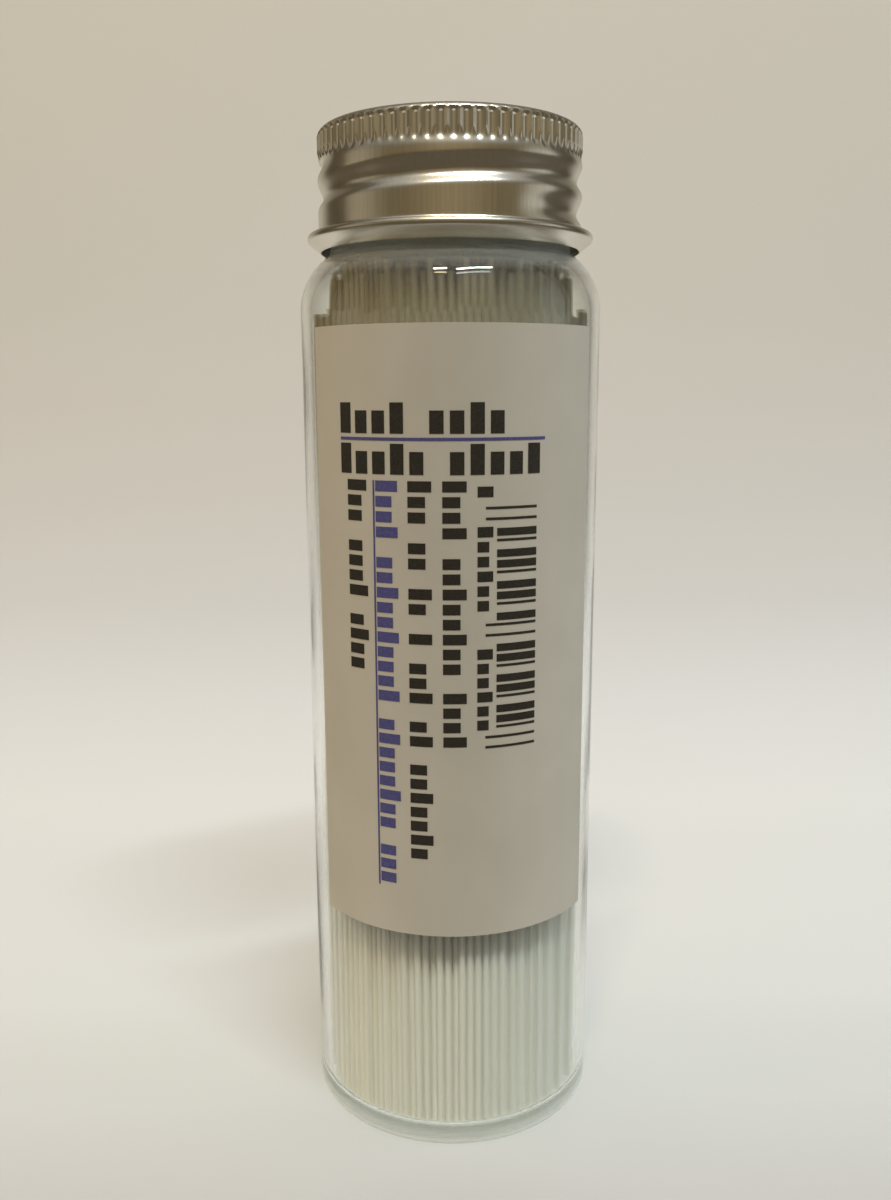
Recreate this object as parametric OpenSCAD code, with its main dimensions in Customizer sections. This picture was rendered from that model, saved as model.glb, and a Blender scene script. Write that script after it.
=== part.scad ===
// Screw-cap glass vial packed with glass capillary tubes.
// The origin is the middle of the foot, +Z runs up the axis, and the label faces -Y.
// Angles round the axis start at the label's middle and run counter-clockwise from above.

/* [Capillary tubes] */
// Length of one tube
tube_len = 100; // [80:1:120]
// Outside diameter of one tube
tube_od = 0.9; // [0.8:0.05:1.2]
// Bore of one tube
tube_bore = 0.5; // [0.3:0.05:0.6]
// Room between neighbouring tubes, and between a tube and the glass
tube_gap = 0.1; // [0.08:0.01:0.3]
// Highest that a jammed tube rides above its neighbours
tube_ride = 2.4; // [0:0.1:3]
// Radius of the bundle's middle, whose tubes are jammed together level with the push-up
jam_r = 14.9; // [12:0.1:15.2]
// Turn of the packed rows about the axis
packing_turn = 11; // [0:1:60]

/* [Vial body] */
// Outside diameter of the body
body_od = 37; // [35:0.5:42]
// Thickness of the body's wall
wall_t = 1.25; // [1:0.05:1.5]
// Thickness of the base
base_t = 1.8; // [1.4:0.1:2.4]
// Radius of the foot's outer edge
heel_r = 0.9; // [0.5:0.1:1.2]
// Radius of the floor's inner corner
corner_r = 1.6; // [1:0.1:2]
// Radius where the push-up under the base begins
punt_r = 11.4; // [10:0.2:13]
// Width of the push-up's slope
punt_slope = 3; // [2:0.2:4]
// Height of the push-up under the base
punt_h = 4.4; // [2:0.2:5]
// Outside radius of the shoulder's curve
shoulder_r = 8.2; // [7:0.1:9]
// Height between the outermost tubes' tops and the shoulder's start
head_room = 0.96; // [0.5:0.02:3]

/* [Neck and thread] */
// Outside diameter of the neck
neck_od = 29.5; // [28.5:0.1:30.5]
// Bore of the neck
neck_bore = 26.4; // [25:0.1:26.8]
// Height of the neck from the shoulder to the rim
neck_h = 12.8; // [11.6:0.1:13]
// Radius of the rim's edges
rim_r = 0.5; // [0.2:0.1:0.7]
// Rise of the thread in one turn
thread_pitch = 3.7; // [3.6:0.05:3.9]
// Turns of thread on the neck
thread_turns = 1.3; // [1.1:0.05:1.35]
// Height of the thread above the neck
thread_h = 0.7; // [0.5:0.05:0.8]
// Width of the thread at its crest
thread_crest = 0.8; // [0.6:0.1:1]
// Width of the thread at its root
thread_root = 1.7; // [1.4:0.1:1.8]

/* [Cap] */
// Thickness of the cap's sheet
cap_t = 0.32; // [0.3:0.01:0.36]
// Room between the neck's thread and the cap's wall
cap_clear = 0.28; // [0.22:0.02:0.4]
// Room between the cap's lower edge and the shoulder
edge_clear = 0.25; // [0.2:0.05:0.6]
// Room between the flanks of the two threads
flank_clear = 0.25; // [0.2:0.05:0.4]
// Radius of the cap's top edge
cap_edge_r = 1; // [0.7:0.1:1.2]
// Depth of the rolled thread groove
groove_depth = 0.62; // [0.5:0.02:0.66]
// Width of the rolled thread groove
groove_w = 2.3; // [2:0.1:2.4]
// Turns of the rolled thread groove
groove_turns = 1.8; // [1.6:0.05:1.8]
// Angle where the rolled thread groove begins
groove_start = 23; // [0:1:360]
// Height of the groove's start above the cap's lower edge
groove_rise = 3.6; // [3.4:0.1:3.8]
// Number of flutes in the knurl
knurl_count = 72; // [48:1:80]
// Depth of one flute
knurl_depth = 0.18; // [0.1:0.01:0.2]
// Width of one flute
knurl_w = 1; // [0.7:0.05:1]
// Height of the knurl below the cap's top
knurl_h = 3.4; // [2.6:0.1:3.4]
// Distance that the bead stands out from the cap's wall
bead_w = 1.4; // [1.3:0.1:1.8]
// Height of the bead's lip above the cap's lower edge
bead_h = 2.1; // [1.9:0.1:2.3]
// Radius of the bead's nose
bead_nose = 0.75; // [0.5:0.05:0.75]
// Radius of the flare from the wall to the bead
flare_r = 0.5; // [0.3:0.1:0.6]
// Thickness of the liner
liner_t = 1.2; // [0.8:0.1:1.6]
// Room between the liner and the curve of the cap's top edge
liner_clear = 0.1; // [0.05:0.05:0.2]

/* [Label] */
// Width of the label round the body
label_w = 38.3; // [34:0.1:45]
// Height of the label
label_h = 72.1; // [69:0.1:74]
// Thickness of the label's paper
label_t = 0.12; // [0.08:0.01:0.2]
// Thickness of the glue under the label
glue_t = 0.02; // [0.01:0.01:0.05]
// Distance between the label's upper edge and the shoulder's start
label_drop = 2.05; // [1:0.05:10]
// Thickness of the printed ink
ink_t = 0.04; // [0.02:0.01:0.06]
// Margin left of the print
print_left = 4.9; // [4:0.1:6]
// Margin above the print
print_top = 8.3; // [7:0.1:9]
// Step from one letter to the next, by which the whole print is laid out
letter_step = 1.75; // [1.6:0.05:1.8]

/* [Hidden] */
$fn = 96;

// Radii of the vial, from its axis
body_r = body_od / 2;
bore_r = body_r - wall_t;
neck_r = neck_od / 2;
crest_r = neck_r + thread_h;
shoulder_cr = body_r - shoulder_r;
// Heights of the vial, from the foot
shoulder_z = base_t + tube_gap + tube_len + head_room;
neck_z = shoulder_z + sqrt(shoulder_r * shoulder_r - pow(neck_r - shoulder_cr, 2));
rim_z = neck_z + neck_h;

// Radii and heights of the cap
wall_in = crest_r + cap_clear;
wall_out = wall_in + cap_t;
edge_z = neck_z + edge_clear;
top_in = rim_z + liner_t;
top_z = top_in + cap_t;
bead_r = wall_out + bead_w;
bead_z = edge_z + bead_h;
knurl_z = top_z - knurl_h;
// Slope of the groove's flanks, as width for each millimetre of depth
flank = 1.2;
groove_z = edge_z + groove_rise;
// The thread's underside bears on the groove's inward ridge, one flank clearance above it
ridge_half = groove_w / 2 + (crest_r - wall_out) * flank + cap_t * sqrt(1 + flank * flank);
thread_z = groove_z + ridge_half + thread_crest / 2 + flank_clear;
// Angle over which each helix fades out, and the angle between its rings
fade = 36;
ring_step = 9;
// Depth to which the thread's flanks run on inside the neck, and depth at which its crest fades out
thread_sunk = 0.4;
thread_end = 0.15;
// Distances outside the wall at which a pressed outline starts and at which it fades out
groove_lead = 0.3;
groove_end = 0.1;
ridge_lead = cap_t / 2;
ridge_end = 0.06;
// Shares of a pressed outline: the depth of its straight flanks, and the width of its floor
press_flank = 0.75;
press_floor = 0.4;
// Distance that the cap's lip stands outside the line of its wall
lip_out = 0.1;

// Radii of the label and its print, and the label's lower edge
label_r = body_r + glue_t;
ink_r = label_r + label_t;
label_z = shoulder_z - label_drop - label_h;
// Layout of the print, in letter steps: top of the columns, left of the first one, distance between
// two, and height of a low letter
column_top = 5.1;
column_left = 0.55;
column_gap = 2.25;
low_letter = 1.15;
// The same for the heading: step and height of its letters
heading_step = 1.3;
heading_letter = 1.45;
// The same for the bars: place, width, length of their row, and how far the long ones stand out
bar_left = 10.85;
bar_top = 6.75;
bar_w = 2.85;
bar_row = 16.2;
bar_guard = 0.75;
// Share of a letter's step that its block fills
letter_share = 0.7;

// Points of an arc in the [radius, height] plane
function arc(centre, r, a0, a1, n = 8) =
  [for (i = [0 : n]) let (a = a0 + (a1 - a0) * i / n) centre + r * [cos(a), sin(a)]];

// Place on a circle round the axis, at an angle from the label's middle
function round_axis(r, z, angle) = [r * sin(angle), -r * cos(angle), z];

// Height of the base's push-up at a radius: level in the middle, with a smooth slope round it
function punt(r) =
  r <= punt_r - punt_slope ? punt_h :
  r >= punt_r ? 0 :
  punt_h * (1 - cos(180 * (punt_r - r) / punt_slope)) / 2;

// Height of the floor's inner corner at a radius
function corner(r) =
  r <= bore_r - corner_r ? 0 :
  corner_r - sqrt(max(0, corner_r * corner_r - pow(r - bore_r + corner_r, 2)));

// Points of the push-up's slope, from the axis outwards
function punt_points(z) =
  concat([[0, z + punt_h]],
    [for (i = [0 : 10]) let (r = punt_r - punt_slope + punt_slope * i / 10) [r, z + punt(r)]]);

function reversed(list) = [for (i = [len(list) - 1 : -1 : 0]) list[i]];

// Fade of a helix towards its two ends, from 0 to 1
function faded(angle, sweep) = min(1, angle / fade, (sweep - angle) / fade);

// Solid through a row of rings that have the same number of points
module ring_solid(rings) {
  m = len(rings[0]);
  last = (len(rings) - 1) * m;
  sides = [for (k = [0 : len(rings) - 2], i = [0 : m - 1])
    let (a = k * m + i, b = k * m + (i + 1) % m)
    each [[a, a + m, b], [b, a + m, b + m]]];
  ends = [[for (i = [0 : m - 1]) i], [for (i = [m - 1 : -1 : 0]) last + i]];
  polyhedron(points = [for (ring = rings) each ring], faces = concat(sides, ends));
}

// Helix that starts at the groove's angle: outline(f) gives [radius, height] points at fade f
module helix(turns, z, outline) {
  sweep = turns * 360;
  ring_solid([for (a = [0 : ring_step : sweep])
    [for (p = outline(faded(a, sweep)))
      round_axis(p[0], z + thread_pitch * a / 360 + p[1], groove_start + a)]]);
}

// Outline of the glass thread, whose flanks run on into the neck's wall
thread_outline = function (f) let (
    low = neck_r - thread_sunk,
    high = neck_r - thread_end + f * (thread_h + thread_end),
    half = thread_crest / 2,
    foot = thread_root / 2 + thread_sunk * (thread_root - thread_crest) / 2 / thread_h
  ) [[low, -foot], [low, foot], [high, half], [high, -half]];

// Outline of the pressed groove or of its inward ridge: fade, face of the wall, where the outline starts
// and ends outside that face, and extra width on each side
function press_outline(f, face, lead, end, extra) = let (
    half = function (r) groove_w / 2 + extra + (r - wall_out) * flank,
    depth = f * (groove_depth + end) - end,
    outer = face + lead,
    waist = face - depth * press_flank,
    inner = face - depth,
    floor_half = half(waist) * press_floor
  ) [[outer, -half(outer)], [waist, -half(waist)], [inner, -floor_half],
     [inner, floor_half], [waist, half(waist)], [outer, half(outer)]];
groove_outline = function (f) press_outline(f, wall_out, groove_lead, groove_end, 0);
ridge_outline = function (f)
  press_outline(f, wall_in, ridge_lead, ridge_end, cap_t * sqrt(1 + flank * flank));

module vial() {
  shoulder_a = acos((neck_r - shoulder_cr) / shoulder_r);
  inner_r = shoulder_r - wall_t;
  inner_a = acos((neck_bore / 2 - shoulder_cr) / inner_r);
  outside = concat(
    punt_points(0),
    arc([body_r - heel_r, heel_r], heel_r, -90, 0, 6),
    arc([shoulder_cr, shoulder_z], shoulder_r, 0, shoulder_a, 10),
    arc([neck_r - rim_r, rim_z - rim_r], rim_r, 0, 90, 4));
  inside = concat(
    punt_points(base_t),
    arc([bore_r - corner_r, base_t + corner_r], corner_r, -90, 0, 6),
    arc([shoulder_cr, shoulder_z], inner_r, 0, inner_a, 10),
    arc([neck_bore / 2 + rim_r, rim_z - rim_r], rim_r, 180, 90, 4));
  color("lightcyan") union() {
    rotate_extrude() polygon(concat(outside, reversed(inside)));
    helix(thread_turns, thread_z, thread_outline);
  }
}

// Part of a jammed tube's ride, from 0 to 1: most tubes stand nearly level
function jam(i, j) = let (s = sin(i * 157 + j * 241 + i * j * 37)) pow(s, 4);

// Height of the inside of the shoulder or neck over a radius
function ceiling(r) =
  r < neck_bore / 2 ? rim_z : shoulder_z + sqrt(pow(shoulder_r - wall_t, 2) - pow(r - shoulder_cr, 2));

// Tubes in a hexagonal packing, with their axes between two radii
module tube_ring(low, high) {
  spacing = tube_od + tube_gap;
  row_h = spacing * sqrt(3) / 2;
  rows = ceil(high / row_h);
  for (j = [-rows : rows], i = [-rows - 1 : rows + 1]) {
    x = (i + (j % 2 == 0 ? 0 : 0.5)) * spacing;
    y = j * row_h;
    r = norm([x, y]);
    edge = r + tube_od / 2;
    floor_z = base_t + tube_gap + max(punt(max(0, r - tube_od / 2)), corner(edge));
    jammed_z = base_t + tube_gap + punt_h + tube_ride * jam(i, j);
    // A jammed tube stops under the shoulder
    z = r < jam_r ? max(floor_z, min(jammed_z, ceiling(edge) - tube_gap * 2 - tube_len)) : floor_z;
    if (r >= low && r < high)
      rotate(packing_turn) translate([x, y, z])
        rotate_extrude($fn = 16) translate([tube_bore / 2, 0])
          square([(tube_od - tube_bore) / 2, tube_len]);
  }
}

// Tubes that stand over the push-up
module inner_tubes() {
  color("gainsboro") tube_ring(0, punt_r);
}

// Tubes that stand round the push-up
module outer_tubes() {
  color("lightgray") tube_ring(punt_r, bore_r - tube_gap - tube_od / 2);
}

// Curved sheet on the body's front: radius, thickness, places across from the left edge, and heights
module patch(r, t, u0, u1, z0, z1) {
  mm = 180 / PI / body_r;
  rotate(270 + (u0 - label_w / 2) * mm) rotate_extrude(angle = (u1 - u0) * mm, $fn = 360)
    translate([r, z0]) square([t, z1 - z0]);
}

module label() {
  color("antiquewhite") patch(label_r, label_t, 0, label_w, label_z, label_z + label_h);
}

// Printed block, in letter steps: across from the print's left margin, and down from its upper one
module ink(across, down, width, height) {
  u = print_left + across * letter_step;
  v = label_z + label_h - print_top - down * letter_step;
  patch(ink_r, ink_t, u, u + width * letter_step, v - height * letter_step, v);
}

// Places of the letters in a line of words, counted in letter widths, with one space between words
function letters(words) =
  [for (w = [0 : len(words) - 1], k = [0 : words[w] - 1]) let (
    before = [for (p = 0, s = 0; p <= w; s = s + words[p], p = p + 1) s]) before[w] + w + k];

// Height of a letter: every few letters one is tall
function letter_h(n, low) = low * (n * 5 % 7 < 2 ? 1.35 : 1);

// Line of letter-sized blocks that reads across the label: place and baseline, letters in each word,
// and one letter's step and low height
module line_across(across, base, words, step, low) {
  for (n = letters(words))
    ink(across + n * step, base - letter_h(n, low), step * letter_share, letter_h(n, low));
}

// Line of letter-sized blocks that reads down the label
module line_down(base, down, words, step, low) {
  for (n = letters(words))
    ink(base, down + n * step, letter_h(n, low), step * letter_share);
}

// Line of words in one of the columns
module column(k, words) {
  line_down(column_left + k * column_gap, column_top, words, 1, low_letter);
}

// Row of bars of three widths, with long pairs at its start, middle and end
module bar_block() {
  bars = 24;
  unit = bar_row / bars / 4;
  for (k = [0 : bars - 1]) {
    long = k < 2 || k > bars - 3 || k == bars / 2 || k == bars / 2 - 1;
    guard = long ? bar_guard : 0;
    thick = long ? 1 : 1 + k * k * 5 % 3;
    ink(bar_left - guard, bar_top + k * (bar_row - unit) / (bars - 1), bar_w + guard, unit * thick);
  }
}

module label_print_dark() {
  color("dimgray") {
    // Heading
    line_across(0, 2.1, [4, 4], heading_step, heading_letter);
    line_across(0, 4.7, [5, 5], heading_step, heading_letter);
    column(0, [3, 4, 4]);
    column(2, [3, 2, 2, 1, 3, 2, 7]);
    column(3, [4, 8, 4]);
    bar_block();
    // Groups of digits, each with its place along the row of bars and its number of digits
    for (group = [[-0.08, 1], [0.08, 6], [0.58, 6]])
      line_down(bar_left - 1.3, bar_top + group[0] * bar_row, [group[1]], 0.97, 0.77);
  }
}

module label_print_blue() {
  color("slateblue") {
    // Rule under the heading
    ink(0, 2.35, 14.3, 0.2);
    // Column with a line along its foot
    ink(column_left + column_gap - 0.2, column_top, 0.12, 28);
    column(1, [4, 10, 8, 3]);
  }
}

module cap_liner() {
  color("white") translate([0, 0, rim_z]) cylinder(r = wall_out - cap_edge_r - liner_clear, h = liner_t);
}

module cap_shell() {
  // The under-face of the bead runs from its nose to the lip beside the thread
  lip_r = wall_in + lip_out;
  nose = [bead_r - bead_nose, bead_z - bead_nose];
  slope = atan2(nose[1] - bead_nose - edge_z, nose[0] - lip_r);
  outside = concat(
    [[0, top_z]],
    arc([wall_out - cap_edge_r, top_z - cap_edge_r], cap_edge_r, 90, 0, 6),
    arc([wall_out + flare_r, bead_z + flare_r], flare_r, 180, 270, 6),
    arc(nose, bead_nose, 90, slope - 90, 8),
    [[lip_r, edge_z]]);
  inside = concat(
    [[0, top_in]],
    arc([wall_out - cap_edge_r, top_z - cap_edge_r], cap_edge_r - cap_t, 90, 0, 6),
    arc([wall_out + flare_r, bead_z + flare_r], flare_r + cap_t, 180, 270, 6),
    arc(nose, bead_nose - cap_t, 90, slope - 90, 8),
    [[lip_r, edge_z + cap_t / cos(slope)]]);
  flute_r = (knurl_w * knurl_w / 4 + knurl_depth * knurl_depth) / (2 * knurl_depth);
  color("silver") difference() {
    union() {
      rotate_extrude() polygon(concat(outside, reversed(inside)));
      helix(groove_turns, groove_z, ridge_outline);
    }
    helix(groove_turns, groove_z, groove_outline);
    for (k = [0 : knurl_count - 1])
      rotate(k * 360 / knurl_count) translate([wall_out + flute_r - knurl_depth, 0, knurl_z + knurl_w / 2]) {
        cylinder(r = flute_r, h = knurl_h, $fn = 32);
        sphere(r = flute_r, $fn = 32);
      }
  }
}

vial();
inner_tubes();
outer_tubes();
label();
label_print_dark();
label_print_blue();
cap_liner();
cap_shell();
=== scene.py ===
import math

import bpy
from mathutils import Matrix, Vector


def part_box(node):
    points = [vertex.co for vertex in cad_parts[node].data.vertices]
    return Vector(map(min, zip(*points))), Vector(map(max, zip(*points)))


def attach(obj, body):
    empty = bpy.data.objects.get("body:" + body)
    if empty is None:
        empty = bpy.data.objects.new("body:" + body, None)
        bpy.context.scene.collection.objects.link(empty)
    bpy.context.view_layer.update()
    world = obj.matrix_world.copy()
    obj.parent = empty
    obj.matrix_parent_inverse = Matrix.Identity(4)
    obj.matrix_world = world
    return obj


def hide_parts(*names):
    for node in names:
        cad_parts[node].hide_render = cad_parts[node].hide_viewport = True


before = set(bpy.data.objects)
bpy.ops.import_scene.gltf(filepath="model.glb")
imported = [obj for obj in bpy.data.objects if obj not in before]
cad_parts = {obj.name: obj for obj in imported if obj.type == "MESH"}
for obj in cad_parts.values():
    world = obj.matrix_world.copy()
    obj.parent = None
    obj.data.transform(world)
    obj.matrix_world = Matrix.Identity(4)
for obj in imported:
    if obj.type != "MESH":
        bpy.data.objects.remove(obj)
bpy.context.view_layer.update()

MM = 0.001

# ---- Sizes, from the frame where it holds them

VIAL_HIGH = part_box("vial")[1]
CAP_LOW, CAP_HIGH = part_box("cap_shell")
LABEL_LOW, LABEL_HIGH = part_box("label")

# The vial's glass
BODY_R = VIAL_HIGH.x
RIM_Z = VIAL_HIGH.z
WALL_T = 1.25 * MM
BORE_R = BODY_R - WALL_T
BASE_T = 1.8 * MM
HEEL_R = 0.9 * MM
CORNER_R = 1.6 * MM
PUNT_R = 11.4 * MM
PUNT_SLOPE = 3 * MM
PUNT_H = 4.4 * MM
SHOULDER_R = 8.2 * MM
SHOULDER_CR = BODY_R - SHOULDER_R
NECK_R = 14.75 * MM
NECK_BORE_R = 13.2 * MM
RIM_EDGE_R = 0.5 * MM
COLLAR_START = 0.05 * MM
COLLAR_STEP = 0.17 * MM

# Its thread
THREAD_PITCH = 3.7 * MM
THREAD_TURNS = 1.3
THREAD_H = 0.7 * MM
THREAD_CREST = 0.8 * MM
THREAD_ROOT = 1.7 * MM
THREAD_CLEAR = 0.25 * MM
THREAD_START = math.radians(23)
THREAD_FADE = math.radians(36)

# The cap's sheet
CAP_T = 0.32 * MM
CAP_WALL_R = 16.05 * MM
CAP_EDGE_R = 1 * MM
CAP_EDGE_Z = CAP_LOW.z
CAP_TOP_Z = CAP_HIGH.z
BEAD_H = 2.1 * MM
BEAD_NOSE = 0.55 * MM
FLARE_R = 0.35 * MM
LIP_TURN = 0.1 * MM
EDGE_CLEAR = 0.25 * MM
WALL_STEP = 0.2 * MM
INNER_STEP = 0.45 * MM

# Its pressed groove: UP and DOWN are the widths of the flanks over and under its deepest line
GROOVE_DEPTH = 0.66 * MM
GROOVE_W = 2.3 * MM
GROOVE_TURNS = 1.8
GROOVE_RISE = 3.6 * MM
GROOVE_UP = 2.1 * MM
GROOVE_DOWN = 1.5 * MM
GROOVE_CLEAR = 0.2 * MM
GROOVE_FLANK = 1.2
RIDGE_DEPTH = GROOVE_DEPTH - 0.04 * MM
RIDGE_UP = 0.7 * GROOVE_UP
RIDGE_DOWN = 0.85 * GROOVE_DOWN

# Its knurl
FLUTES = 72
FLUTE_DEPTH = 0.36 * MM
FLUTE_W = 1.34 * MM
FLUTE_TOP = 0.3 * MM
FLUTE_RUN = 1.1 * MM
FLUTE_WAIST = 0.16 * MM
FLUTE_RIDGE = 0.2 * MM
KNURL_H = 3.4 * MM

# Heights that follow
NECK_Z = CAP_EDGE_Z - EDGE_CLEAR
SHOULDER_Z = NECK_Z - math.sqrt(SHOULDER_R ** 2 - (NECK_R - SHOULDER_CR) ** 2)
KNURL_Z = CAP_TOP_Z - KNURL_H
GROOVE_Z = CAP_EDGE_Z + GROOVE_RISE
RIDGE_HALF = (GROOVE_W / 2 + (NECK_R + THREAD_H - CAP_WALL_R) * GROOVE_FLANK
              + CAP_T * math.sqrt(1 + GROOVE_FLANK * GROOVE_FLANK))
THREAD_Z = GROOVE_Z + RIDGE_HALF + THREAD_CREST / 2 + THREAD_CLEAR

# The label's paper
LABEL_W = 38.3 * MM
PAPER_BACK = 0.02 * MM
PAPER_FACE = 0.14 * MM

# The tubes
TUBE_LEN = 100 * MM
TUBE_R = 0.45 * MM
TUBE_BORE_R = 0.25 * MM
TUBE_GAP = 0.1 * MM
TUBE_RIDE = 2.4 * MM
TUBE_SIDES = 12
JAM_R = 14.9 * MM
PACKING_TURN = math.radians(11)
LEAN_WAVES = ((0.5 * MM, 2, 0.7), (0.3 * MM, 5, 2.1), (0.16 * MM, 11, 0.0))


# ---- Mesh helpers

def round_axis(r, z, angle):
    return (r * math.sin(angle), -r * math.cos(angle), z)


def arc(centre, r, start, end, steps):
    """Points of an arc in the (radius, height) plane, with its angles in degrees."""
    points = []
    for i in range(steps + 1):
        a = math.radians(start + (end - start) * i / steps)
        points.append((centre[0] + r * math.cos(a), centre[1] + r * math.sin(a)))
    return points


def filled(points, step):
    """The same outline with points added, so that none is further than step from the next."""
    dense = [points[0]]
    for (r0, z0), (r1, z1) in zip(points, points[1:]):
        count = max(1, math.ceil(math.hypot(r1 - r0, z1 - z0) / step))
        for i in range(1, count + 1):
            dense.append((r0 + (r1 - r0) * i / count, z0 + (z1 - z0) * i / count))
    return dense


def smoothstep(t):
    t = min(1.0, max(0.0, t))
    return t * t * (3 - 2 * t)


def mesh_object(name, verts, faces, material):
    mesh = bpy.data.meshes.new(name)
    mesh.from_pydata(verts, [], faces)
    mesh.validate()
    mesh.shade_smooth()
    mesh.set_sharp_from_angle(angle=math.radians(40))
    mesh.materials.append(material)
    obj = bpy.data.objects.new(name, mesh)
    bpy.context.scene.collection.objects.link(obj)
    return obj


def lathe(name, outline, segments, material, relief):
    """Closed solid turned round the axis. The outline runs from the axis back to the axis, and
    relief gives the (radius, height) of each of its points at an angle."""
    verts = [round_axis(0, outline[0][1], 0)]
    inner = outline[1:-1]
    for k in range(segments):
        angle = 2 * math.pi * k / segments
        for i, (r, z) in enumerate(inner, 1):
            verts.append(round_axis(*relief(i, r, z, angle), angle))
    verts.append(round_axis(0, outline[-1][1], 0))
    rows = len(inner)
    last = len(verts) - 1
    faces = []
    for k in range(segments):
        a = 1 + k * rows
        b = 1 + (k + 1) % segments * rows
        faces.append((0, b, a))
        for i in range(rows - 1):
            faces.append((a + i, b + i, b + i + 1, a + i + 1))
        faces.append((last, a + rows - 1, b + rows - 1))
    return mesh_object(name, verts, faces, material)


# ---- Material helpers

class Nodes:
    """The node tree of a material or a world, with short ways to add and join its nodes."""

    def __init__(self, owner, output):
        owner.use_nodes = True
        self.owner = owner
        self.tree = owner.node_tree
        self.tree.nodes.clear()
        self.output = self.tree.nodes.new(output)

    def put(self, socket, value):
        """Join a socket to another node's, or set it to a constant."""
        if isinstance(value, bpy.types.NodeSocket):
            self.tree.links.new(value, socket)
        else:
            socket.default_value = value

    def node(self, kind, inputs=None, **settings):
        node = self.tree.nodes.new(kind)
        for key, value in settings.items():
            setattr(node, key, value)
        for key, value in (inputs or {}).items():
            self.put(node.inputs[key], value)
        return node

    def surface(self, socket):
        self.tree.links.new(socket, self.output.inputs["Surface"])
        return self.owner

    def place(self):
        """Object coordinates in metres."""
        return self.node("ShaderNodeTexCoord").outputs["Object"]

    def axes(self, vector):
        """Outputs X, Y and Z of a vector."""
        return self.node("ShaderNodeSeparateXYZ", {"Vector": vector}).outputs

    def noise(self, stretch, detail=2.0, roughness=0.5):
        """Noise over the object's coordinates in millimetres, each of them stretched."""
        places = self.node("ShaderNodeMapping", {
            "Vector": self.place(), "Scale": tuple(s / MM for s in stretch)}).outputs[0]
        return self.node("ShaderNodeTexNoise", {
            "Vector": places, "Scale": 1.0, "Detail": detail,
            "Roughness": roughness}).outputs["Fac"]

    def ramp(self, value, stops):
        node = self.node("ShaderNodeValToRGB", {"Fac": value})
        elements = node.color_ramp.elements
        while len(elements) < len(stops):
            elements.new(0.5)
        for element, (place, colour) in zip(elements, stops):
            element.position = place
            element.color = (*colour, 1)
        return node.outputs["Color"]

    def between(self, value, start, end, low=0.0, high=1.0):
        """From low to high, as the value goes from start to end."""
        return self.node("ShaderNodeMapRange", {
            "Value": value, "From Min": start, "From Max": end,
            "To Min": low, "To Max": high}).outputs["Result"]

    def maths(self, operation, a, b=0.0):
        node = self.node("ShaderNodeMath", operation=operation)
        self.put(node.inputs[0], a)
        self.put(node.inputs[1], b)
        return node.outputs[0]

    def vector(self, operation, a, b=None, scale=None):
        """Vector maths on one or two vectors, or on a vector and a scale."""
        inputs = {0: a}
        if b is not None:
            inputs[1] = b
        if scale is not None:
            inputs["Scale"] = scale
        return self.node("ShaderNodeVectorMath", inputs, operation=operation)

    def mean(self, share, a, b):
        return self.node("ShaderNodeMix", {
            "Factor": share, "A": a, "B": b}, data_type="FLOAT").outputs[0]

    def colours(self, share, a, b, blend="MIX"):
        return self.node("ShaderNodeMix", {
            "Factor": share, "A": a, "B": b}, data_type="RGBA",
            blend_type=blend).outputs["Result"]

    def shaders(self, share, a, b):
        return self.node("ShaderNodeMixShader", {0: share, 1: a, 2: b}).outputs[0]

    def shader(self, kind, inputs):
        return self.node("ShaderNode" + kind, inputs).outputs[0]

    def bump(self, height, strength, distance):
        return self.node("ShaderNodeBump", {
            "Height": height, "Strength": strength, "Distance": distance}).outputs["Normal"]


def new_material(name):
    return Nodes(bpy.data.materials.new(name), "ShaderNodeOutputMaterial")


# ---- Materials

WHITE = (1.0, 1.0, 1.0)
# Heights where the vial's glass turns partly pale and diffuse: painted light at its neck and its
# foot
NECK_PAINTED_LIGHT_Z = (106.5 * MM, 109.5 * MM)
FOOT_PAINTED_LIGHT_Z = (0.3 * MM, 2.4 * MM)
# Painted shade on the tubes: darker towards their top and their right side
TUBE_TOP_SHADE_Z = (60 * MM, 106 * MM)
TUBE_RIGHT_SHADE_X = (0.0, 15 * MM)
TUBE_TOP_SHADE = (0.44, 0.395, 0.31)
TUBE_VEIL = (0.76, 0.745, 0.70, 1)
TUBE_ROUNDNESS = 0.15


def glass_material():
    """Clear glass that lets the lamps light what stands in it. Towards its neck and its foot it
    turns partly into pale diffuse glass: painted light, standing in for light that the glass
    carries there.
    """
    s = new_material("vial_glass")
    waves = s.noise((0.09, 0.09, 0.035), detail=1.0)
    height = s.axes(s.place())["Z"]
    # Painted light: the glass is less see-through and more pale diffuse towards its neck and its
    # foot
    neck = s.between(height, *NECK_PAINTED_LIGHT_Z, 1.0, 0.8)
    base = s.between(height, *FOOT_PAINTED_LIGHT_Z, 0.5, 1.0)
    glass = s.shader("BsdfPrincipled", {
        "Base Color": (0.965, 0.98, 0.96, 1),
        "Roughness": 0.0,
        "IOR": 1.5,
        "Transmission Weight": s.maths("MULTIPLY", neck, base),
        "Normal": s.bump(waves, 0.25, 0.5 * MM),
    })
    clear = s.shader("BsdfTransparent", {"Color": (0.94, 0.96, 0.95, 1)})
    path = s.node("ShaderNodeLightPath").outputs
    lamps = s.maths("MAXIMUM", path["Is Shadow Ray"], path["Is Diffuse Ray"])
    return s.surface(s.shaders(lamps, glass, clear))


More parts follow.
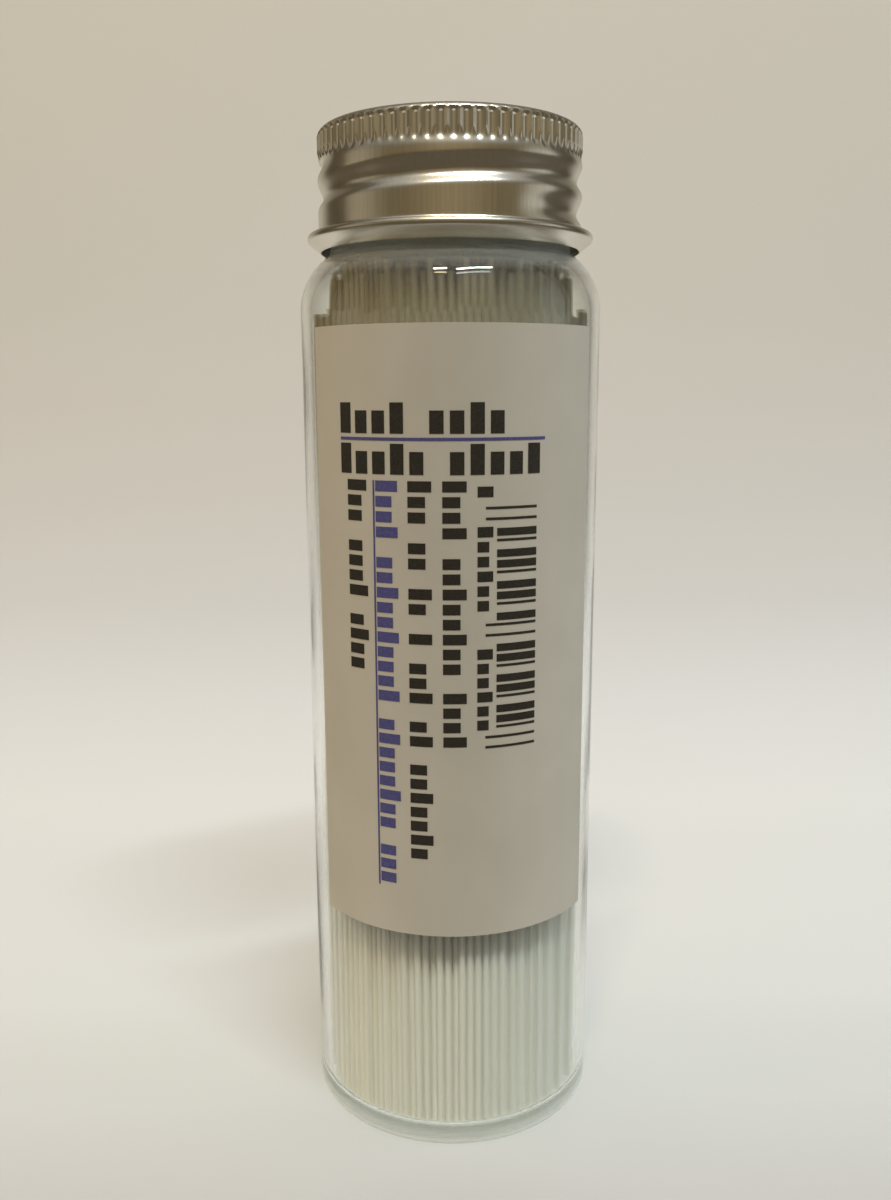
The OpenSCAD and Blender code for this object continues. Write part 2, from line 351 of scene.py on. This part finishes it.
def tube_material():
    """Drawn glass tubes, pale with fine streaks along their length. The greater part of each ray
    goes straight through. Painted shade darkens the bundle towards its top and its right side.
    A ray that the vial's glass bends or mirrors finds each tube shaded nearly as the whole bundle
    would be."""
    s = new_material("tube_glass")
    fine = s.noise((2.6, 2.6, 0.012), detail=3.0)
    broad = s.noise((0.35, 0.35, 0.02))
    streaks = s.ramp(s.mean(0.4, fine, broad), [
        (0.32, (0.74, 0.73, 0.65)), (0.68, (0.86, 0.85, 0.77))])
    axes = s.axes(s.place())
    # Painted shade: the bundle darker towards its right side and, by the ramp below, towards its
    # top
    right = s.between(axes["X"], *TUBE_RIGHT_SHADE_X, 1.0, 0.8)
    upper = s.between(axes["Z"], *TUBE_TOP_SHADE_Z)
    top_shade = s.ramp(upper, [(0.0, WHITE), (1.0, TUBE_TOP_SHADE)])
    path = s.node("ShaderNodeLightPath").outputs

    body = s.shader("BsdfPrincipled", {
        "Base Color": s.colours(1.0, streaks, top_shade, "MULTIPLY"),
        "Metallic": 0.6,
        "Roughness": 0.3,
        "IOR": 1.2,
    })
    clear = s.shader("BsdfTransparent", {"Color": (0.96, 0.96, 0.93, 1)})
    tube = s.shaders(s.maths("MULTIPLY", path["Is Shadow Ray"], 0.85), body, clear)

    flat = s.vector("MULTIPLY", s.place(), (1, 1, 0)).outputs[0]
    outward = s.vector("NORMALIZE", flat).outputs[0]
    own = s.node("ShaderNodeNewGeometry").outputs["Normal"]
    own = s.vector("SCALE", own, scale=TUBE_ROUNDNESS).outputs[0]
    facing = s.vector("NORMALIZE", s.vector("ADD", outward, own).outputs[0]).outputs[0]
    inward = s.vector("SCALE", facing, scale=-1.0).outputs[0]
    veil = s.colours(1.0, TUBE_VEIL, top_shade, "MULTIPLY")
    veil = s.vector("SCALE", veil, scale=right).outputs[0]
    lit = s.shader("BsdfDiffuse", {"Color": veil, "Normal": facing})
    unlit = s.shader("BsdfTranslucent", {"Color": veil, "Normal": inward})
    bundle = s.shader("AddShader", {0: lit, 1: unlit})

    bent = s.maths("MULTIPLY", path["Is Glossy Ray"], 0.9)
    seen = s.shaders(bent, tube, bundle)
    through = s.shader("BsdfTransparent", {"Color": (0.97, 0.97, 0.95, 1)})
    # Rays go through more often towards the top, which blurs the tubes there and, as painted shade,
    # darkens the bundle
    return s.surface(s.shaders(s.between(upper, 0.0, 1.0, 0.6, 0.76), seen, through))


def paper_material():
    s = new_material("label_paper")
    fibres = s.noise((9, 9, 7), detail=4.0, roughness=0.65)
    clouds = s.noise((0.12, 0.12, 0.09))
    return s.surface(s.shader("BsdfPrincipled", {
        "Base Color": s.ramp(s.mean(0.35, clouds, fibres), [
            (0.3, (0.51, 0.48, 0.415)), (0.7, (0.565, 0.535, 0.465))]),
        "Roughness": 0.72,
        "Specular IOR Level": 0.25,
        "Normal": s.bump(fibres, 0.2, 0.03 * MM),
    }))


def ink_material(name, dark, light):
    s = new_material(name)
    grain = s.noise((6, 6, 6), detail=3.0, roughness=0.6)
    return s.surface(s.shader("BsdfPrincipled", {
        "Base Color": s.ramp(grain, [(0.35, dark), (0.75, light)]),
        "Roughness": 0.5,
        "Specular IOR Level": 0.35,
    }))


def lacquer_material():
    """Pale coat on the cap's inner side."""
    s = new_material("cap_lacquer")
    clouds = s.noise((0.4, 0.4, 0.4), detail=3.0)
    return s.surface(s.shader("BsdfPrincipled", {
        "Base Color": s.ramp(clouds, [(0.3, (0.80, 0.79, 0.72)), (0.7, (0.86, 0.85, 0.78))]),
        "Roughness": 0.45,
    }))


def plastic_material():
    s = new_material("liner_plastic")
    clouds = s.noise((0.4, 0.4, 0.4), detail=3.0)
    return s.surface(s.shader("BsdfPrincipled", {
        "Base Color": s.ramp(clouds, [(0.3, (0.78, 0.78, 0.75)), (0.7, (0.86, 0.86, 0.83))]),
        "Roughness": s.between(clouds, 0.0, 1.0, 0.4, 0.55),
        "Normal": s.bump(clouds, 0.1, 0.1 * MM),
    }))


def metal_material():
    """Rolled aluminium sheet, drawn into a cap: satin, with fine upright marks from the drawing."""
    s = new_material("cap_metal")
    marks = s.noise((3.2, 3.2, 0.12), detail=4.0, roughness=0.7)
    clouds = s.noise((0.25, 0.25, 0.25), detail=3.0)
    return s.surface(s.shader("BsdfPrincipled", {
        "Base Color": s.ramp(marks, [(0.3, (0.70, 0.665, 0.58)), (0.7, (0.80, 0.765, 0.68))]),
        "Metallic": 1.0,
        "Roughness": s.between(clouds, 0.0, 1.0, 0.2, 0.3),
        "Normal": s.bump(marks, 0.08, 0.02 * MM),
    }))


# ---- Pieces

def punt(r):
    """Height of the push-up under the base at a radius."""
    if r <= PUNT_R - PUNT_SLOPE:
        return PUNT_H
    if r >= PUNT_R:
        return 0.0
    return PUNT_H * (1 - math.cos(math.pi * (PUNT_R - r) / PUNT_SLOPE)) / 2


def helix_passes(angle, turns, low):
    """(height, fade) of each pass of the thread's helix at an angle round the axis."""
    passes = []
    run = (angle - THREAD_START) % (2 * math.pi)
    end = turns * 2 * math.pi
    while run <= end:
        share = min(1.0, run / THREAD_FADE, (end - run) / THREAD_FADE)
        passes.append((low + THREAD_PITCH * run / (2 * math.pi), smoothstep(share)))
        run += 2 * math.pi
    return passes


def make_vial(material):
    outer_a = math.degrees(math.acos((NECK_R - SHOULDER_CR) / SHOULDER_R))
    inner_r = SHOULDER_R - WALL_T
    inner_a = math.degrees(math.acos((NECK_BORE_R - SHOULDER_CR) / inner_r))
    shoulder = (SHOULDER_CR, SHOULDER_Z)
    edge_z = RIM_Z - RIM_EDGE_R

    def push_up(z):
        top = [(r * MM, z + PUNT_H) for r in (0, 3, 6)]
        slope = [PUNT_R - PUNT_SLOPE * (1 - i / 16) for i in range(17)]
        return top + [(r, z + punt(r)) for r in slope]

    outside = (push_up(0)
               + arc((BODY_R - HEEL_R, HEEL_R), HEEL_R, -90, 0, 12)
               + arc(shoulder, SHOULDER_R, 0, outer_a, 28))
    collar = filled([(NECK_R, NECK_Z + COLLAR_START), (NECK_R, edge_z)], COLLAR_STEP)
    rim = (arc((NECK_R - RIM_EDGE_R, edge_z), RIM_EDGE_R, 10, 90, 6)
           + arc((NECK_BORE_R + RIM_EDGE_R, edge_z), RIM_EDGE_R, 90, 180, 6))
    inside = (push_up(BASE_T)
              + arc((BORE_R - CORNER_R, BASE_T + CORNER_R), CORNER_R, -90, 0, 12)
              + arc(shoulder, inner_r, 0, inner_a, 24))
    first, last = len(outside), len(outside) + len(collar)

    def thread(i, r, z, angle):
        if first <= i < last:
            slope = (THREAD_ROOT - THREAD_CREST) / 2
            for height, share in helix_passes(angle, THREAD_TURNS, THREAD_Z):
                away = abs(z - height) - THREAD_CREST / 2
                r = max(r, NECK_R + THREAD_H * share * smoothstep(1 - away / slope))
        return r, z

    vial = lathe("blown_vial", outside + collar + rim + inside[::-1], 192, material, thread)
    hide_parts("vial")
    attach(vial, "vial")


def groove(z, angle, up, down):
    """Depth, from 0 to 1, of the cap's pressed groove, with the widths of its flanks. Its upper
    flank stops short of the knurl."""
    depth = 0.0
    for height, share in helix_passes(angle, GROOVE_TURNS, GROOVE_Z):
        if z > height:
            flank = max(0.5 * up, min(up, KNURL_Z + GROOVE_CLEAR - height))
        else:
            flank = down
        depth = max(depth, share * (1 - smoothstep(abs(z - height) / flank)))
    return depth


def flute(z, angle):
    """Depth, from 0 to 1, of the knurl's dents, which run out downwards into the wall."""
    half = FLUTE_W / 2
    turn = angle * FLUTES / (2 * math.pi)
    across = abs(turn - round(turn)) * 2 * math.pi * CAP_WALL_R / FLUTES / half
    upper = max(0.0, z - CAP_TOP_Z + FLUTE_TOP + half) / half
    run = smoothstep((z - KNURL_Z + 0.8 * FLUTE_RUN) / FLUTE_RUN)
    return run * max(0.0, 1 - math.hypot(across, upper) ** 2)


def make_cap(metal, lacquer):
    wall_in = CAP_WALL_R - CAP_T
    bead_z = CAP_EDGE_Z + BEAD_H
    lip_r = wall_in + LIP_TURN
    nose = (CAP_HIGH.x - BEAD_NOSE, bead_z - BEAD_NOSE)
    lip_a = math.atan2(nose[1] - BEAD_NOSE - CAP_EDGE_Z, nose[0] - lip_r)
    lip_end = math.degrees(lip_a) - 90
    top = (CAP_WALL_R - CAP_EDGE_R, CAP_TOP_Z - CAP_EDGE_R)
    flare = (CAP_WALL_R + FLARE_R, bead_z + FLARE_R)

    disc = [(r * MM, CAP_TOP_Z) for r in (0, 4, 8, 12)]
    edge = arc(top, CAP_EDGE_R, 90, 0, 12)
    wall = filled([edge[-1], (CAP_WALL_R, flare[1])], WALL_STEP)[1:-1]
    foot = (arc(flare, FLARE_R, 180, 270, 8)
            + arc(nose, BEAD_NOSE, 90, lip_end, 12)
            + [(lip_r, CAP_EDGE_Z)])
    outer = disc + edge + wall + foot
    inner_disc = [(r * MM, CAP_TOP_Z - CAP_T) for r in (0, 8)]
    inner_edge = arc(top, CAP_EDGE_R - CAP_T, 90, 0, 5)
    inner_wall = filled([(wall_in, top[1]), (wall_in, flare[1])], INNER_STEP)[1:-1]
    inner_foot = (arc(flare, FLARE_R + CAP_T, 180, 270, 6)
                  + arc(nose, BEAD_NOSE - CAP_T, 90, lip_end, 6)
                  + [(lip_r, CAP_EDGE_Z + CAP_T / math.cos(lip_a))])
    inner = inner_disc + inner_edge + inner_wall + inner_foot
    outer_last = len(outer) - len(foot)
    inner_first = len(outer) + len(inner_foot)

    def relief(i, r, z, angle):
        if len(disc) <= i < outer_last:
            pressed = GROOVE_DEPTH * groove(z, angle, GROOVE_UP, GROOVE_DOWN)
            waist = FLUTE_WAIST * smoothstep(1 - abs(z - KNURL_Z) / FLUTE_RUN)
            r = min(r, CAP_WALL_R - max(FLUTE_DEPTH * flute(z, angle), pressed, waist))
        elif inner_first <= i < inner_first + len(inner_wall):
            pressed = RIDGE_DEPTH * groove(z, angle, RIDGE_UP, RIDGE_DOWN)
            knurled = FLUTE_RIDGE * smoothstep((z - KNURL_Z + FLUTE_RUN) / FLUTE_RUN)
            r -= max(pressed, knurled)
        return r, z

    cap = lathe("drawn_cap", outer + inner[::-1], 576, metal, relief)
    cap.data.materials.append(lacquer)
    rows = len(outer) + len(inner) - 2
    for face in cap.data.polygons:
        if min((v - 1) % rows for v in face.vertices) >= len(outer) - 1:
            face.material_index = 1
    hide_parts("cap_shell")
    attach(cap, "cap")


def make_label(material):
    """Paper sheet that follows the glass, with its cut edges a little proud."""
    columns, rows = 96, 60
    low, high = LABEL_LOW.z, LABEL_HIGH.z
    half = LABEL_W / 2 / BODY_R
    verts, faces = [], []
    for r in (BODY_R + PAPER_BACK, BODY_R + PAPER_FACE):
        for j in range(rows + 1):
            for i in range(columns + 1):
                angle = -half + 2 * half * i / columns
                verts.append(round_axis(r, low + (high - low) * j / rows, angle))
    row, side = columns + 1, (columns + 1) * (rows + 1)
    for j in range(rows):
        for i in range(columns):
            a = j * row + i
            faces.append((a, a + row, a + row + 1, a + 1))
            b = a + side
            faces.append((b, b + 1, b + row + 1, b + row))
    ring = (list(range(row))
            + [j * row + columns for j in range(1, rows + 1)]
            + [rows * row + i for i in range(columns - 1, -1, -1)]
            + [j * row for j in range(rows - 1, 0, -1)])
    for a, b in zip(ring, ring[1:] + ring[:1]):
        faces.append((a, b, b + side, a + side))
    label = mesh_object("paper_label", verts, faces, material)
    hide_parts("label")
    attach(label, "vial")


def corner(r):
    """Height of the floor's inner corner at a radius."""
    if r <= BORE_R - CORNER_R:
        return 0.0
    return CORNER_R - math.sqrt(max(0.0, CORNER_R ** 2 - (r - BORE_R + CORNER_R) ** 2))


def jam(i, j):
    """Part of a jammed tube's ride, from 0 to 1: most tubes stand nearly level. The three numbers
    only scatter the rides."""
    return math.sin(math.radians(i * 157 + j * 241 + i * j * 37)) ** 4


def ceiling(r):
    """Height of the inside of the shoulder or neck over a radius."""
    if r < NECK_BORE_R:
        return RIM_Z
    return SHOULDER_Z + math.sqrt((SHOULDER_R - WALL_T) ** 2 - (r - SHOULDER_CR) ** 2)


def lean(x, y):
    """Shift of a tube's upper end: the loose bundle is twisted a little, in slow waves round it."""
    angle = math.atan2(y, x)
    shift = sum(size * math.sin(count * angle + phase) for size, count, phase in LEAN_WAVES)
    shift *= min(1.0, math.hypot(x, y) / PUNT_R)
    return -shift * math.sin(angle), shift * math.cos(angle)


def make_tubes(node, low, high, material):
    """Hollow tubes in a hexagonal packing, with their axes between two radii."""
    spacing = 2 * TUBE_R + TUBE_GAP
    row_h = spacing * math.sqrt(3) / 2
    rows = math.ceil(high / row_h)
    turned_c, turned_s = math.cos(PACKING_TURN), math.sin(PACKING_TURN)
    angles = [2 * math.pi * k / TUBE_SIDES for k in range(TUBE_SIDES)]
    ring = [(math.cos(a), math.sin(a)) for a in angles]
    verts, faces = [], []
    for j in range(-rows, rows + 1):
        for i in range(-rows - 1, rows + 2):
            across = (i + (0 if j % 2 == 0 else 0.5)) * spacing
            r = math.hypot(across, j * row_h)
            if not low <= r < high:
                continue
            x = across * turned_c - j * row_h * turned_s
            y = across * turned_s + j * row_h * turned_c
            z = BASE_T + TUBE_GAP + max(punt(max(0.0, r - TUBE_R)), corner(r + TUBE_R))
            if r < JAM_R:
                jammed = BASE_T + TUBE_GAP + PUNT_H + TUBE_RIDE * jam(i, j)
                z = max(z, min(jammed, ceiling(r + TUBE_R) - 2 * TUBE_GAP - TUBE_LEN))
            dx, dy = lean(x, y)
            top = z + TUBE_LEN
            first = len(verts)
            for radius, height, share in (
                    (TUBE_R, z, 0), (TUBE_R, top, 1), (TUBE_BORE_R, top, 1), (TUBE_BORE_R, z, 0)):
                verts += [(x + dx * share + radius * c, y + dy * share + radius * s, height)
                          for c, s in ring]
            for level in range(4):
                a = first + level * TUBE_SIDES
                b = first + (level + 1) % 4 * TUBE_SIDES
                for k in range(TUBE_SIDES):
                    after = (k + 1) % TUBE_SIDES
                    faces.append((a + k, a + after, b + after, b + k))
    tubes = mesh_object("drawn_" + node, verts, faces, material)
    tubes.visible_shadow = False
    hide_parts(node)
    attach(tubes, "vial")


def dress(node, material):
    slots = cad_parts[node].data.materials
    slots.clear()
    slots.append(material)


# ---- Room, lamps and camera

SWEEP_HALF = 1.2
SWEEP_TOP = 1.2
BEND_Y = 0.07
BEND_R = 0.12
# Colour that the sweep shows to all rays but the camera's: painted shade and dark reflections
OFF_CAMERA_DARK = (0.10, 0.085, 0.065, 1)
LEFT_WALL = (0.62, 0.53, 0.38, 1)
RIGHT_WALL = (0.9, 0.88, 0.78, 1)
FAR_WALL = (0.56, 0.52, 0.43, 1)


def make_sweep():
    """Paper sweep: a pale floor that curves up into the wall behind the vial, with light and shade
    painted into its colour. To all but the camera's own rays it is painted dark aside and ahead,
    as shade and dark reflections. Rays that the vial mirrors or bends also find it dark close
    before the vial and high on the wall, and mirrored ones round the vial: painted dark
    reflections."""
    s = new_material("sweep_paper")
    axes = s.axes(s.place())
    aside = s.between(s.maths("ABSOLUTE", axes["X"]), 0.14, 0.26)
    ahead = s.between(axes["Y"], -0.08, -0.15)
    before = s.between(axes["Y"], -0.045, -0.085)
    above = s.between(axes["Z"], 0.13, 0.24, 0.0, 0.8)
    flat = s.vector("MULTIPLY", s.place(), (1, 1, 0)).outputs[0]
    ring = s.between(s.vector("LENGTH", flat).outputs["Value"], 0.03, 0.075)
    ring = s.maths("MULTIPLY", ring, s.between(axes["Y"], 0.09, 0.04, 0.0, 0.85))

    path = s.node("ShaderNodeLightPath").outputs
    unseen = s.maths("SUBTRACT", 1.0, path["Is Camera Ray"])
    glossy = path["Is Glossy Ray"]
    mirrored = s.maths("MULTIPLY", glossy, s.maths("SUBTRACT", 1.0, path["Is Transmission Ray"]))
    # Painted shade and dark reflections: all rays but the camera's find the sweep dark aside and
    # ahead
    dark = s.maths("MULTIPLY", s.maths("MAXIMUM", aside, ahead), unseen)
    # Painted dark reflections: rays that the vial mirrors or bends find it dark close before the
    # vial and high on the wall, mirrored ones also round it
    for place, rays in ((before, glossy), (ring, mirrored), (above, glossy)):
        dark = s.maths("MAXIMUM", dark, s.maths("MULTIPLY", place, rays))

    # Painted light and shade: the paper is darker at the floor's front edge and in a band partway
    # up the wall, lighter on the floor round the vial and high on the wall
    along = s.between(s.maths("ADD", axes["Y"], axes["Z"]), -0.03, 0.39)
    paper = s.ramp(along, [
        (0.0, (0.56, 0.565, 0.58)),
        (0.05, (0.66, 0.68, 0.70)),
        (0.11, (0.71, 0.73, 0.75)),
        (0.30, (0.72, 0.735, 0.75)),
        (0.42, (0.67, 0.68, 0.705)),
        (0.53, (0.61, 0.61, 0.62)),
        (0.64, (0.62, 0.61, 0.60)),
        (0.73, (0.66, 0.64, 0.62)),
        (0.81, (0.73, 0.715, 0.68)),
        (1.0, (0.735, 0.71, 0.665)),
    ])
    material = s.surface(s.shader("BsdfPrincipled", {
        "Base Color": s.colours(dark, paper, OFF_CAMERA_DARK),
        "Roughness": 0.9,
        "Specular IOR Level": 0.1,
    }))

    bend = [math.radians(a) for a in range(3, 91, 3)]
    outline = [(-SWEEP_HALF, 0.0), (BEND_Y, 0.0)]
    outline += [(BEND_Y + BEND_R * math.sin(a), BEND_R * (1 - math.cos(a))) for a in bend]
    outline.append((BEND_Y + BEND_R, SWEEP_TOP))
    verts = [(x, y, z) for x in (-SWEEP_HALF, SWEEP_HALF) for y, z in outline]
    count = len(outline)
    faces = [(i, count + i, count + i + 1, i + 1) for i in range(count - 1)]
    sweep = mesh_object("sweep", verts, faces, material)


def make_world():
    """Light of the room: warm and dim at the level of the eye, pale from above, weaker at the
    sides, with a wall far to the left and right. The camera itself sees an even pale wall."""
    s = Nodes(bpy.data.worlds.new("room"), "ShaderNodeOutputWorld")
    axes = s.axes(s.node("ShaderNodeTexCoord").outputs["Generated"])
    aside = s.maths("ABSOLUTE", axes["X"])
    room = s.ramp(s.between(axes["Z"], -1, 1), [
        (0.0, (0.2, 0.17, 0.12)),
        (0.47, (0.36, 0.275, 0.15)),
        (0.56, (0.47, 0.35, 0.17)),
        (0.68, (0.45, 0.39, 0.28)),
        (1.0, (1.1, 1.08, 1.02)),
    ])
    room = s.colours(1.0, room, s.ramp(aside, [(0.15, WHITE), (0.65, (0.6, 0.6, 0.6))]), "MULTIPLY")
    walls = s.colours(s.between(axes["X"], -1, 1), LEFT_WALL, RIGHT_WALL)
    light = s.shader("Background", {
        "Color": s.colours(s.between(aside, 0.84, 0.99), room, walls), "Strength": 0.6})
    pale = s.shader("Background", {"Color": FAR_WALL})
    seen = s.node("ShaderNodeLightPath").outputs["Is Camera Ray"]
    bpy.context.scene.world = s.surface(s.shaders(seen, light, pale))


def area_lamp(name, place, size, power, colour, target=(0, 0, 0.08), mirrored=True):
    light = bpy.data.lights.new(name, "AREA")
    light.shape = "RECTANGLE"
    light.size, light.size_y = size
    light.energy = power
    light.color = colour
    lamp = bpy.data.objects.new(name, light)
    lamp.location = place
    lamp.rotation_euler = (Vector(target) - Vector(place)).to_track_quat("-Z", "Y").to_euler()
    lamp.visible_glossy = mirrored
    lamp.visible_transmission = mirrored
    bpy.context.scene.collection.objects.link(lamp)


def fill_lamp(name, place, colour):
    """Wide lamp that lights the vial from a side, and that nothing mirrors."""
    area_lamp(name, place, (0.6, 0.6), 3.0, colour, target=(0, 0, 0.05), mirrored=False)


def make_camera():
    """The photographer's place: a phone's height in front of the vial, looking a little down."""
    azimuth, distance, height = -0.028, 0.1406, 0.0936
    pitch, yaw, roll = 0.19, 0.0053, -0.0042
    heading = azimuth + yaw
    level = Vector((-math.sin(heading), math.cos(heading), 0))
    right = Vector((math.cos(heading), math.sin(heading), 0))
    up = Vector((0, 0, 1))
    forward = level * math.cos(pitch) - up * math.sin(pitch)
    above = level * math.sin(pitch) + up * math.cos(pitch)
    across = right * math.cos(roll) + above * math.sin(roll)
    above = above * math.cos(roll) - right * math.sin(roll)
    data = bpy.data.cameras.new("camera")
    data.sensor_width = 36
    data.lens = 32.78
    data.clip_start = 0.01
    camera = bpy.data.objects.new("camera", data)
    camera.matrix_world = Matrix((
        (across.x, above.x, -forward.x, distance * math.sin(azimuth)),
        (across.y, above.y, -forward.y, -distance * math.cos(azimuth)),
        (across.z, above.z, -forward.z, height),
        (0, 0, 0, 1)))
    bpy.context.scene.collection.objects.link(camera)
    bpy.context.scene.camera = camera


make_camera()
make_sweep()
make_world()
area_lamp("warm_lamp", (-0.10, -0.45, 0.85), (0.12, 0.04), 1.9, (1.0, 0.80, 0.52))
area_lamp("cool_lamp", (0.20, -0.42, 0.85), (0.34, 0.04), 3.1, (0.86, 0.95, 1.0))
fill_lamp("left_fill", (-0.7, 0.05, 0.45), (1.0, 0.8, 0.55))
fill_lamp("right_fill", (0.7, 0.1, 0.45), (0.85, 0.95, 1.0))

make_vial(glass_material())
make_cap(metal_material(), lacquer_material())
make_label(paper_material())
tube_glass = tube_material()
make_tubes("inner_tubes", 0, PUNT_R, tube_glass)
make_tubes("outer_tubes", PUNT_R, BORE_R - TUBE_GAP - TUBE_R, tube_glass)
dress("label_print_dark", ink_material("dark_ink", (0.018, 0.016, 0.012), (0.05, 0.045, 0.035)))
dress("label_print_blue", ink_material("blue_ink", (0.06, 0.06, 0.2), (0.12, 0.12, 0.3)))
dress("cap_liner", plastic_material())

bpy.context.scene.view_settings.view_transform = "Standard"
